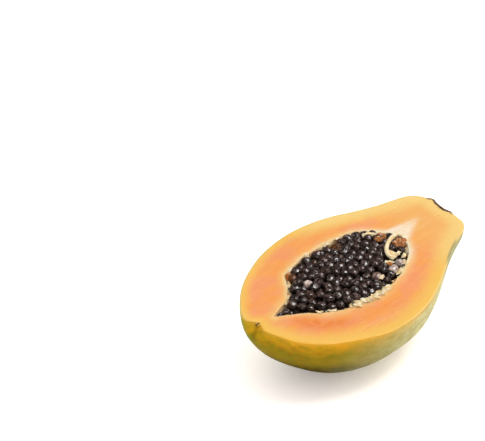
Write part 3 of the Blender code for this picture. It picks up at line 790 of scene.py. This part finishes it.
def skin_finish(settings):
    material, net, shader = new_finish(
        "waxy skin", Roughness=0.42, Specular_IOR_Level=0.0, Coat_Weight=0.22, Coat_Roughness=0.22,
        Coat_IOR=1.2, Subsurface_Weight=0.05, Subsurface_Scale=0.003)
    place, below = net.stored("cut", "Vector"), net.stored("below")
    cork, stub, blotch = net.stored("cork"), net.stored("stub"), net.stored("blotch")
    drift = net.grain(net.stretched(place, (0.5, 1.0, 1.0)), 1.6, 0.4, 3.0)
    depth = net.maths("ADD", below, net.plus(drift, 8.0, -4.0))

    # gold under the rim, olive on the belly, green on the far side and pale on the neck; the lowest skin is
    # darkened with painted shade
    body = net.mix(net.spread(depth, -0.5, 12.0), settings.skin_gold, settings.skin_olive)
    green = net.maths("ADD", net.stored("green"), net.plus(drift, 0.9, -0.45), clamp=True)
    body = net.mix(green, body, settings.skin_green)
    blush = net.patchy(net.stretched(place, (0.7, 1.0, 1.0)), 0.55, 0.6, 2.0, 0.46, 0.66)
    body = net.mix(net.times(blush, 0.3), body, tone("A89A14"))
    # Painted shade: the skin turns dark towards its lowest part, less so on the far side.
    dark = net.times(net.spread(depth, 14.0, 31.0, 0.0, 0.95), net.plus(net.stored("farside"), -0.7, 1.0))
    body = net.mix(dark, body, tone("352A03"))
    patches = net.spread(net.patchy(place, 1.8, 0.5, 3.0, 0.3, 0.7), 0.0, 1.0, 0.7, 1.0)
    body = net.mix(net.times(net.stored("pale"), patches), body, settings.skin_pale)
    body = net.mix(net.times(net.stored("sage"), 0.8), body, tone("9FA878"))

    # mottling, blotches and stripes by the blossom end, and pale dots
    mottle = net.patchy(net.stretched(place, (0.6, 1.3, 1.3)), 2.6, 0.5, 3.0, 0.42, 0.68)
    body = net.mix(net.times(mottle, 0.2), body, tone("6E780C"))
    for stretch, scale, low, high, code in (
            ((0.8, 1.0, 1.5), 1.7, 0.40, 0.68, "8A5A10"), ((0.45, 1.3, 1.3), 1.9, 0.46, 0.66, "6F8414")):
        marks = net.patchy(net.stretched(place, stretch), scale, 0.5, 3.0, low, high)
        body = net.mix(net.times(net.times(blotch, marks), 0.38), body, tone(code))
    dots = net.add("ShaderNodeTexVoronoi", {"Vector": place, "Scale": 4.2})
    spot = net.spread(dots.outputs["Distance"], 0.08, 0.02)
    body = net.mix(net.times(spot, 0.22), body, tone("E4D27A"))
    body = net.mix(net.times(net.stored("crease"), 0.35), body, tone("8A5A10"))
    elsewhere = net.maths("SUBTRACT", 1.0, net.stored("sage_line"))
    body = net.mix(net.times(net.spread(below, 3.2, 0.3, 0.0, 0.6), elsewhere), body, tone("F0B83C"))

    flaky = net.patchy(place, 14.0, 0.6, 5.0, 0.4, 0.6)
    body = net.mix(cork, body, net.mix(flaky, tone("3A2415"), tone("8A6B4C")))
    body = net.mix(stub, body, net.mix(flaky, tone("120A06"), tone("2C1A0E")))
    rough = net.spread(net.maths("MAXIMUM", cork, stub), 0.0, 1.0, 0.36, 0.85)
    scuffs = net.patchy(place, 3.0, 0.5, 4.0, 0.4, 0.7)
    net.feed(shader, Base_Color=body, Roughness=net.plus(scuffs, 0.14, rough),
             Coat_Weight=net.spread(below, 12.0, 30.0, 0.22, 0.02))
    relief = net.plus(spot, 0.5, net.grain(place, 22.0, 0.3, 4.0))
    net.bump(shader, net.plus(net.times(flaky, cork), 2.0, relief), 0.00025, 0.55)
    return material


class PAPAYA_OT_fruit(Operator):
    """Makes the fruit: cut flesh, cavity wall and skin as one closed mesh"""

    bl_idname = "papaya.fruit"
    bl_label = "Flesh and skin"

    def execute(self, context):
        settings = context.scene.papaya_fruit
        shape, spots, faces, counts, masks = shape_fruit(settings)
        mesh = bpy.data.meshes.new("papaya_fruit")
        mesh.from_pydata([tuple(point) for point in laid(shape)], [], faces)
        edited = bmesh.new()
        edited.from_mesh(mesh)
        bmesh.ops.recalc_face_normals(edited, faces=edited.faces)
        smooth_mesh(mesh, edited)
        keep_values(mesh, "cut", spots * 0.1)
        for name, values in masks.items():
            keep_values(mesh, name, values)
        mesh.materials.append(flesh_finish(settings))
        mesh.materials.append(skin_finish(settings))
        slots = np.repeat([0, 0, 1], counts)
        mesh.polygons.foreach_set("material_index", slots.astype(np.int32))
        place_piece("papaya_fruit", mesh, "papaya_half")
        return {"FINISHED"}


# The seeds


def seed_tree(material):
    """Seeds set on points: each is a lumpy ball, sized and turned by the values stored on its point."""
    net, given = new_growth("Seed heap", {"Fineness": 4, "Stretch": 1.14, "Lumps": 0.10, "Seed": 4.0})
    radius, shade = net.named("radius"), net.named("tone")
    ball = net.add("GeometryNodeMeshIcoSphere", {"Radius": 1.0, "Subdivisions": given["Fineness"]})
    sizes = net.add("ShaderNodeCombineXYZ",
                    (net.times(radius, given["Stretch"]), radius, net.times(radius, 0.97)))
    turn = net.add("FunctionNodeEulerToRotation", (net.named("turned", "FLOAT_VECTOR"),))
    balls = net.add("GeometryNodeInstanceOnPoints", {
        "Points": given["Geometry"], "Instance": ball.outputs["Mesh"], "Rotation": turn.outputs[0],
        "Scale": sizes.outputs[0]})
    real = net.add("GeometryNodeRealizeInstances", {0: balls.outputs[0]})

    here = net.add("GeometryNodeInputPosition").outputs[0]
    local = net.vector("SUBTRACT", here, net.named("seat", "FLOAT_VECTOR"))
    lumps = net.add("ShaderNodeTexNoise", noise_dimensions="4D", inputs={
        "Vector": local, "W": net.plus(shade, 90.0, given["Seed"]), "Scale": 260.0, "Detail": 2.0})
    swell = net.times(net.maths("SUBTRACT", lumps.outputs[0], 0.5), given["Lumps"])
    creases = net.add("ShaderNodeTexNoise", noise_dimensions="4D", inputs={
        "Vector": local, "W": net.times(shade, 70.0), "Scale": 640.0})
    fine = net.times(net.maths("ABSOLUTE", net.maths("SUBTRACT", creases.outputs[0], 0.5)), -0.8)
    moved = net.vector("SCALE", local, Scale=net.plus(swell, 2.0, fine))
    # Height on each seed, which the seed finish reads to paint shade on the seed's lower half.
    rise = net.add("ShaderNodeSeparateXYZ", (local,)).outputs[2]
    upper = net.add("GeometryNodeStoreNamedAttribute", data_type="FLOAT", domain="POINT", inputs={
        "Name": "upper", "Geometry": real.outputs[0], "Value": net.maths("DIVIDE", rise, radius)})
    return end_growth(net, upper.outputs[0], moved, material)


def seed_finish(settings):
    material, net, shader = new_finish("wet seed", Roughness=0.4, IOR=1.18, Coat_Weight=1.0,
                                       Coat_Roughness=0.05, Coat_IOR=1.42)
    place = net.add("ShaderNodeTexCoord").outputs["Object"]
    bent = net.grain(place, 420.0, 0.002, 2.0)
    ridges = net.add("ShaderNodeTexVoronoi", {"Vector": place, "Scale": 900.0}, feature="SMOOTH_F1")
    web = net.spread(ridges.outputs["Distance"], 0.25, 0.75)
    pale_ridges = net.times(web, net.spread(bent, 0.35, 0.65, 0.15, 0.9))
    # Painted shade: the pale ridges and the browner tone show only on each seed's upper half, so the lower
    # half, where the seeds meet, keeps the dark colour.
    upper = net.spread(net.stored("upper"), -0.1, 0.75)
    kind, shade = net.stored("kind"), net.stored("tone")
    body = net.mix(net.times(pale_ridges, upper), settings.dark, settings.pale_ridges)
    body = net.mix(net.times(net.times(shade, upper), 0.22), body, tone("603C2C"))
    body = net.mix(net.spread(kind, 0.2, 1.0, 0.0, 0.9), body, net.mix(web, settings.amber, tone("44240E")))
    body = net.mix(net.spread(kind, 1.2, 2.0), body, net.mix(web, settings.pale, tone("A8887C")))
    gloss = net.spread(net.plus(shade, 0.3, bent), 0.45, 0.85, 1.0, 0.5)
    net.feed(shader, Base_Color=body, Roughness=net.spread(bent, 0.3, 0.7, 0.3, 0.5),
             Coat_Weight=net.times(gloss, net.spread(upper, 0.0, 0.6, 0.25, 1.0)))
    net.bump(shader, net.plus(bent, 0.6, web), 0.0006, 0.85)
    return material


# Seeds that differ from the rest: place in the cut, and 1 for a browned skin or 2 for a pale one.
ODD_SEEDS = (
    (40.5, 14.8, 0.75), (78.5, 14.6, 0.7), (42.4, 1.7, 1.9), (75.5, -18.3, 1.5), (60.0, 12.0, 0.5),
    (95.5, -17.0, 2.0), (101.0, -16.5, 1.8), (91.6, -19.4, 1.9), (106.9, -7.8, 0.5), (36.0, -5.0, 0.45),
)


def seed_points(rows, number, odd=(), shrink=1.0):
    """A mesh of bare points, one for each seed, that carries its size, turn and colour."""
    draw = np.random.RandomState(number)
    mesh = bpy.data.meshes.new("seed points")
    places = laid(rows[:, :3])
    mesh.from_pydata([tuple(place) for place in places], [], [])
    kinds = np.zeros(len(rows))
    for x, y, kind in odd:
        kinds[np.hypot(rows[:, 0] - x, rows[:, 1] - y).argmin()] = kind
    tilt = draw.uniform(-0.5, 0.5, (len(rows), 2))
    keep_values(mesh, "radius", rows[:, 3] * MM * shrink)
    keep_values(mesh, "seat", places)
    keep_values(mesh, "turned", np.column_stack([tilt, draw.uniform(0.0, math.pi, len(rows))]))
    keep_values(mesh, "tone", draw.uniform(0.0, 1.0, len(rows)))
    keep_values(mesh, "kind", kinds)
    return mesh


def heap_core():
    """Closed dark filling of the cavity, just under the seeds that show."""
    level = HEAP_EDGE_HEIGHT - CORE_DROP
    rows = [(14.2, -2.7, 14.2, -2.7, 0.0, 0.0, 0.0)]
    for far_x, far_y, near_x, near_y, depth, lean, swell in CAVITY_ROWS[1:-1]:
        rows.append((far_x, far_y - CORE_GAP, near_x, near_y + CORE_GAP, depth - 2.0 * CORE_GAP + level,
                     lean, swell))
    rows.append((113.4, -3.8, 113.4, -3.8, 0.0, 0.0, 0.0))
    shape = bmesh.new()
    bmesh.ops.create_uvsphere(shape, u_segments=CORE_TURNS, v_segments=CORE_RINGS, radius=1.0)
    for vert in shape.verts:
        share = math.acos(max(-1.0, min(1.0, vert.co.z))) / math.pi
        point = half_rings(rows, CAVITY_RIB, share, math.atan2(vert.co.y, vert.co.x))
        if point[2] > 0.0:
            point[2] = min(point[2], float(heap_height(point[0], point[1])) - HEAP_EDGE_HEIGHT)
        lump = noise.noise(Vector(point) / 3.0)
        vert.co = Vector((point[0], point[1], point[2] + level + (0.5 * lump if point[2] > 0.0 else 0.0)))
    bmesh.ops.transform(shape, matrix=LAY, verts=shape.verts)
    bmesh.ops.recalc_face_normals(shape, faces=shape.faces)
    mesh = smooth_mesh(bpy.data.meshes.new("seed_core"), shape)
    # It stores no height on a seed, so the seed finish leaves it dark without ridges all over: the seeds' own
    # dark colour with painted shade of the deep heap.
    keep_values(mesh, "kind", np.full(len(mesh.vertices), 0.1))
    keep_values(mesh, "tone", np.zeros(len(mesh.vertices)))
    return mesh


class PAPAYA_OT_seeds(Operator):
    """Makes the heap of seeds: those that show, a layer under them and the filling of the cavity"""

    bl_idname = "papaya.seeds"
    bl_label = "Seeds"

    def execute(self, context):
        settings = context.scene.papaya_seeds
        finish = seed_finish(settings)
        tree = seed_tree(finish)

        def add(name, points, **inputs):
            usual = {"Stretch": settings.stretch, "Lumps": settings.wrinkle, "Fineness": SEED_FINENESS}
            place_piece(name, grown(name, points, tree, {**usual, **inputs}), "seeds")

        top = settled_seeds(SEED_COUNT, SEED_DRAW, SEED_CROWDING, SEED_SPREADS)
        add("seeds_top", seed_points(top, SEED_DRAW + 1, ODD_SEEDS))
        for number, (*seat, stretch, heading) in enumerate(TAIL_SEEDS):
            points = seed_points(np.array([seat]), SEED_DRAW + 20 + number, shrink=0.998)
            points.attributes["turned"].data[0].vector = (0.0, 0.0, math.radians(heading))
            add(f"seed_tail_{number + 1}", points, Stretch=stretch)
        under = settled_seeds(UNDER_COUNT, SEED_DRAW + 7, UNDER_CROWDING, UNDER_SPREADS, UNDER_SHRINK)
        under[:, 2] = heap_height(under[:, 0], under[:, 1]) - UNDER_DROP
        add("seeds_under", seed_points(under, SEED_DRAW + 2, shrink=0.999), Fineness=SEED_FINENESS_UNDER)
        core = heap_core()
        core.materials.append(finish)
        place_piece("seed_core", core, "seeds")
        return {"FINISHED"}


# The pale tissue


def tissue_finish(settings):
    material, net, shader = new_finish("seed tissue", Roughness=0.45, IOR=1.35, Coat_Weight=0.15,
                                       Coat_Roughness=0.2, Subsurface_Weight=0.2, Subsurface_Scale=0.002)
    place, stain = net.add("ShaderNodeTexCoord").outputs["Object"], net.stored("stain")
    fibre = net.patchy(place, 320.0, 0.003, 4.0, 0.3, 0.7)
    stained = net.patchy(place, 160.0, 0.004, 3.0, 0.5, 0.66)
    patches = net.plus(stained, 0.5, net.spread(stain, 0.4, 1.0, 0.0, 0.9))
    body = net.mix(fibre, tone("F0CB8C"), settings.cream)
    body = net.mix(net.times(patches, stain), body, settings.amber)
    net.feed(shader, Base_Color=body, Roughness=net.spread(fibre, 0.0, 1.0, 0.36, 0.55))
    net.bump(shader, fibre, 0.0003, 0.7)
    return material


def strand_tree(material):
    """A strand swept along its path, thickened by the radius stored on the path and roughened by noise."""
    net, given = new_growth("Tissue strand", {"Radius": STRAND_RADIUS * MM, "Sides": 24, "Roughness": 0.0003,
                                              "Seed": 2.0})
    path = net.add("GeometryNodeMeshToCurve", {0: given["Geometry"]})
    size = net.add("GeometryNodeSetCurveRadius", {"Curve": path.outputs[0], "Radius": net.named("thickness")})
    ring = net.add("GeometryNodeCurvePrimitiveCircle", {
        "Resolution": given["Sides"], "Radius": given["Radius"]})
    sweep = net.add("GeometryNodeCurveToMesh", {
        "Curve": size.outputs[0], "Profile Curve": ring.outputs[0], "Fill Caps": True})
    rough = net.add("ShaderNodeTexNoise", noise_dimensions="4D", inputs={
        "W": given["Seed"], "Scale": 420.0, "Detail": 3.0})
    push = net.times(net.maths("SUBTRACT", rough.outputs[0], 0.5), given["Roughness"])
    normal = net.add("GeometryNodeInputNormal").outputs[0]
    return end_growth(net, sweep.outputs[0], net.vector("SCALE", normal, Scale=push), material)


def path_mesh(points, thickness):
    """A line of points and links that carries its thickness."""
    mesh = bpy.data.meshes.new("strand path")
    links = [(number, number + 1) for number in range(len(points) - 1)]
    mesh.from_pydata([tuple(point) for point in laid(points)], links, [])
    keep_values(mesh, "thickness", thickness)
    return mesh


class PAPAYA_OT_tissue(Operator):
    """Makes the loose strand and the scraps of tissue left on the cavity's edge"""

    bl_idname = "papaya.tissue"
    bl_label = "Seed tissue"

    def execute(self, context):
        settings = context.scene.papaya_tissue
        finish = tissue_finish(settings)
        shares = np.linspace(0.0, 1.0, STRAND_RINGS)
        round_off = np.sqrt(np.maximum(1.0 - (2.0 * shares - 1.0) ** 12, 0.004))
        path = path_mesh(through(STRAND_ROUTE, shares), round_off * (1.25 - 0.35 * shares))
        mesh = grown("strand", path, strand_tree(finish), {"Radius": settings.strand_radius})
        keep_values(mesh, "stain", np.full(len(mesh.vertices), STRAND_STAIN))
        place_piece("strand", mesh, "papaya_half")
        for mesh in (scrap_mesh(), membrane_mesh()):
            mesh.materials.append(finish)
            place_piece(mesh.name, mesh, "papaya_half")
        inputs = {"Stretch": CRUMB_STRETCH, "Lumps": CRUMB_LUMPS, "Fineness": SEED_FINENESS_UNDER}
        mesh = grown("crumbs", crumb_points(), seed_tree(finish), inputs)
        place_piece("crumbs", mesh, "papaya_half")
        return {"FINISHED"}


# Thin membranes and bits: middle, half sizes, heading and tilt in degrees, bend, and stain, 1 for brown.
MEMBRANES = (
    (106.8, -8.3, 2.8, 3.0, 2.9, 0.3, -48.0, 50.0, 0.8, 1.0),
    (109.0, -8.6, 3.2, 2.2, 1.9, 0.3, -65.0, 42.0, 0.9, 0.9),
    (92.8, -13.4, 5.2, 2.7, 2.0, 0.6, -55.0, 46.0, 0.5, 0.1),
    (112.2, -8.0, -2.4, 3.2, 2.4, 0.22, -70.0, 48.0, 0.8, 0.8),
    (108.6, -12.6, -1.0, 2.8, 1.6, 0.22, -80.0, 44.0, 0.7, 0.5),
    (106.0, 3.4, 1.4, 2.8, 1.5, 0.22, -48.0, 34.0, 0.6, 0.8),
    (97.6, 8.0, 3.2, 2.5, 1.3, 0.26, -50.0, 40.0, 0.7, 0.3),
    (99.8, 1.2, 3.8, 2.2, 1.5, 0.3, -60.0, 46.0, 0.6, 1.0),
    (101.0, 6.4, 2.9, 3.0, 1.4, 0.4, -50.0, 42.0, 0.6, 0.15),
    (87.6, -16.6, 4.6, 2.4, 0.9, 0.4, -40.0, 40.0, 0.5, 0.1),
    (86.6, -17.6, 4.4, 1.3, 0.9, 0.3, -60.0, 46.0, 0.4, 1.0),
    (103.4, 7.8, 1.0, 2.6, 1.4, 0.26, -42.0, 30.0, 0.6, 0.4),
    (94.6, 15.4, 0.8, 2.6, 1.2, 0.24, -24.0, 24.0, 0.6, 0.5),
    (86.0, 19.4, 0.6, 2.2, 0.9, 0.24, -12.0, 20.0, 0.5, 0.2),
    (100.8, -16.4, 1.8, 2.0, 1.3, 0.25, 30.0, -20.0, 0.7, 0.0),
    (97.4, -19.0, 0.8, 2.2, 1.3, 0.25, 24.0, -16.0, 0.5, 0.2),
    (88.4, -23.0, 0.6, 2.0, 1.1, 0.22, 14.0, -14.0, 0.5, 0.2),
    (36.6, -19.4, 0.4, 2.4, 1.2, 0.6, -30.0, -16.0, 0.5, 0.1),
    (30.6, -15.8, 0.3, 1.8, 1.0, 0.5, -40.0, -14.0, 0.4, 0.4),
    (91.4, -22.2, -0.1, 2.6, 1.3, 0.5, 20.0, -10.0, 0.4, 0.1),
    (41.0, 14.6, -0.4, 3.0, 2.4, 1.6, 40.0, 10.0, 0.4, 0.9),
    (24.6, 2.8, -0.9, 3.0, 1.2, 0.4, 22.0, 30.0, 0.5, 0.1),
    (30.0, 5.6, -1.0, 3.0, 1.3, 0.4, 30.0, 30.0, 0.5, 0.2),
    (44.0, 17.6, 0.3, 2.8, 1.3, 0.26, 24.0, 20.0, 0.6, 0.2),
    (36.0, 11.0, -0.4, 2.6, 1.0, 0.24, 50.0, 20.0, 0.5, 0.5),
    (76.6, -20.4, 2.0, 2.0, 1.2, 0.6, 10.0, -12.0, 0.3, 0.4),
    (66.0, 19.4, 1.2, 2.2, 0.9, 0.24, -4.0, 20.0, 0.5, 0.9),
)


def soft_lump(shape, place, sizes, turn, bend, rough, number):
    """A closed lump with an uneven outline; a thin one is bent like a flake."""
    key = Vector((3.7, 1.3, 0.7)) * number
    place = Matrix.Translation(place) @ turn
    for vert in bmesh.ops.create_icosphere(shape, subdivisions=LUMP_FINENESS, radius=1.0)["verts"]:
        unit = vert.co.copy()
        swell = 1.0 + rough * noise.noise(unit * 1.3 + key) + 0.5 * rough * noise.noise(unit * 3.4 + key)
        spot = Vector((unit.x * sizes[0], unit.y * sizes[1], unit.z * sizes[2])) * max(swell, 0.35)
        flat = Vector((unit.x, unit.y, 0.0))
        spot.z += bend * (unit.x ** 2 - 0.4) + 0.8 * bend * noise.noise(flat * 2.2 + key)
        vert.co = place @ spot


def turned(heading, tilt):
    """A tilt about X, then a heading about Z, both in degrees."""
    return Matrix.Rotation(math.radians(heading), 4, "Z") @ Matrix.Rotation(math.radians(tilt), 4, "X")


def lump_mesh(name, rows):
    """One mesh of separate closed lumps, each with its stain stored on it."""
    shape = bmesh.new()
    stains = []
    for number, (place, sizes, turn, bend, rough, stain) in enumerate(rows):
        soft_lump(shape, place, sizes, turn, bend, rough, number + 1.0)
        stains += [stain] * (len(shape.verts) - len(stains))
    bmesh.ops.transform(shape, matrix=LAY, verts=shape.verts)
    mesh = smooth_mesh(bpy.data.meshes.new(name), shape)
    keep_values(mesh, "stain", stains)
    return mesh


def scrap_mesh():
    """Ragged clumps, each spread inside its own outline, and a fringe of the same tissue on the near edge."""
    draw = np.random.RandomState(SCRAP_DRAW)
    rows = []

    def add(place, sizes):
        turn = turned(draw.uniform(0.0, 180.0), draw.uniform(-30.0, 30.0))
        rows.append((place, sizes, turn, 0.15, 0.55, draw.choice((0.0, 0.1, 0.7), p=(0.5, 0.3, 0.2))))

    for x, y, z, long, wide, high, heading in SCRAPS:
        frame_turn = Matrix.Rotation(math.radians(heading), 4, "Z")
        for _ in range(SCRAP_PARTS):
            off = Vector((draw.uniform(-0.62, 0.62) * long, draw.uniform(-0.55, 0.55) * wide,
                          draw.uniform(-0.3, 0.35) * high))
            size = draw.uniform(0.28, 0.5)
            add(Vector((x, y, z)) + frame_turn @ off,
                (size * long * draw.uniform(0.8, 1.3), size * wide, size * high * draw.uniform(0.6, 1.1)))
    near = through(CAVITY_ROWS, np.linspace(0.3, 0.75, 400))[:, 2:4]
    for _ in range(FRINGE_PARTS):
        x = draw.uniform(FRINGE_START, FRINGE_END)
        edge = float(np.interp(x, near[:, 0], near[:, 1]))
        share = (x - FRINGE_START) / (FRINGE_END - FRINGE_START)
        reach = FRINGE_REACH * (0.55 + 0.45 * math.sin(9.0 * share + 1.0)) * math.sin(math.pi * share) ** 0.4
        inwards = draw.uniform(-0.12, 1.0)
        size = draw.uniform(0.6, 1.5) * (1.25 - 0.5 * max(inwards, 0.0))
        add(Vector((x, edge + inwards * reach, 0.15 + 0.9 * max(inwards, 0.0) + draw.uniform(-0.2, 0.3))),
            (size * draw.uniform(1.0, 1.8), size, 0.5 * size))
    return lump_mesh("scraps", rows)


def membrane_mesh():
    """The thin flakes by the strand and along the cavity's edge."""
    rows = [((x, y, z), (long, wide, high), turned(heading, tilt), bend, 0.6, stain)
            for x, y, z, long, wide, high, heading, tilt, bend, stain in MEMBRANES]
    return lump_mesh("membranes", rows)


def crumb_points():
    """Bare points for crumbs of tissue, scattered along the cavity's edge."""
    draw = np.random.RandomState(CRUMB_DRAW)
    edge, inwards = cavity_outline()
    chosen = draw.randint(0, len(edge), 4 * CRUMB_COUNT)
    chosen = chosen[edge[chosen, 0] > 28.0][:CRUMB_COUNT]
    spots = edge[chosen] + inwards[chosen] * draw.uniform(-0.5, 1.0, len(chosen))[:, None]
    heights = draw.uniform(-0.9, 0.25, len(chosen))
    rows = np.column_stack([spots, heights, draw.uniform(0.25, 0.75, len(chosen)) ** 1.3])
    mesh = seed_points(rows, CRUMB_DRAW + 1, shrink=0.997)
    keep_values(mesh, "stain", draw.choice((0.0, 0.2, 0.9), len(chosen)))
    return mesh


# Floor, light and camera


def soft_room(settings, box_direction):
    """White room, brightest overhead; glossy surfaces mirror a dim room with one soft box."""
    world = bpy.data.worlds.new("room")
    world.use_nodes = True
    net = Net(world.node_tree)
    towards = net.add("ShaderNodeTexCoord").outputs["Generated"]
    height = net.add("ShaderNodeSeparateXYZ", (towards,)).outputs[2]
    room = net.spread(height, 0.1, 0.9, settings.wall_light, settings.fill)
    facing = net.add("ShaderNodeVectorMath", (towards, tuple(box_direction)), operation="DOT_PRODUCT")
    box = net.spread(facing.outputs["Value"], 0.935, 0.972, 0.0, settings.sheen)
    seen = net.add("ShaderNodeLightPath").outputs
    mirrored = net.between(seen["Is Glossy Ray"], room, net.plus(room, MIRRORED_ROOM, box))
    net.feed(world.node_tree.nodes["Background"], Color=(1.0, 1.0, 1.0, 1.0),
             Strength=net.between(seen["Is Camera Ray"], mirrored, 1.0))
    return world


class PAPAYA_OT_stage(Operator):
    """Makes the plain floor, the soft lights and the camera"""

    bl_idname = "papaya.stage"
    bl_label = "Floor, light and camera"

    def execute(self, context):
        settings = context.scene.papaya_stage
        scene = context.scene
        data = bpy.data.cameras.new("camera")
        data.lens, data.sensor_width = CAMERA_LENS, 36.0
        camera = linked("camera", data)
        turn = Matrix((CAMERA_RIGHT, CAMERA_UP, CAMERA_BACK)).transposed()
        camera.matrix_world = Matrix.Translation(CAMERA_AT) @ turn.to_4x4()
        scene.camera = camera
        scene.view_settings.view_transform = "Standard"

        shape = bmesh.new()
        bmesh.ops.create_grid(shape, x_segments=1, y_segments=1, size=FLOOR_HALF)
        mesh = bpy.data.meshes.new("floor")
        shape.to_mesh(mesh)
        shape.free()
        floor = linked("floor", mesh)
        colour = (*settings.floor, 1.0)
        material, _, _ = new_finish("pale floor", Roughness=0.75, Base_Color=colour, Emission_Color=colour,
                                    Emission_Strength=settings.floor_glow)
        mesh.materials.append(material)

        right, up, back = Vector(CAMERA_RIGHT), Vector((0.0, 0.0, 1.0)), Vector(CAMERA_BACK)
        data = bpy.data.lights.new("key", "SUN")
        data.energy, data.angle = settings.key, KEY_ANGLE
        lamp = linked("key", data)
        lamp.rotation_euler = (right * 0.34 + up * 0.90 + back * 0.10).to_track_quat("Z", "Y").to_euler()
        scene.world = soft_room(settings, (right * 0.55 + up * 0.85 + back * 0.20).normalized())
        return {"FINISHED"}


class PAPAYA_PT_panel(Panel):
    """Lists what makes the papaya half"""

    bl_idname = "PAPAYA_PT_panel"
    bl_label = "Papaya half"
    bl_space_type = "VIEW_3D"
    bl_region_type = "UI"
    bl_category = "Papaya"

    def draw(self, context):
        for kind, group, name in PARTS:
            column = self.layout.column(align=True)
            column.operator(kind.bl_idname)
            for setting in group.__annotations__:
                column.prop(getattr(context.scene, name), setting)


PARTS = (
    (PAPAYA_OT_fruit, FruitSettings, "papaya_fruit"),
    (PAPAYA_OT_seeds, SeedSettings, "papaya_seeds"),
    (PAPAYA_OT_tissue, TissueSettings, "papaya_tissue"),
    (PAPAYA_OT_stage, StageSettings, "papaya_stage"),
)


def register():
    for kind, group, name in PARTS:
        bpy.utils.register_class(group)
        setattr(bpy.types.Scene, name, PointerProperty(type=group))
        bpy.utils.register_class(kind)
    bpy.utils.register_class(PAPAYA_PT_panel)


def unregister():
    bpy.utils.unregister_class(PAPAYA_PT_panel)
    for kind, group, name in reversed(PARTS):
        bpy.utils.unregister_class(kind)
        delattr(bpy.types.Scene, name)
        bpy.utils.unregister_class(group)


def main():
    register()
    bpy.ops.papaya.fruit()
    bpy.ops.papaya.seeds()
    bpy.ops.papaya.tissue()
    bpy.ops.papaya.stage()


if __name__ == "__main__":
    main()
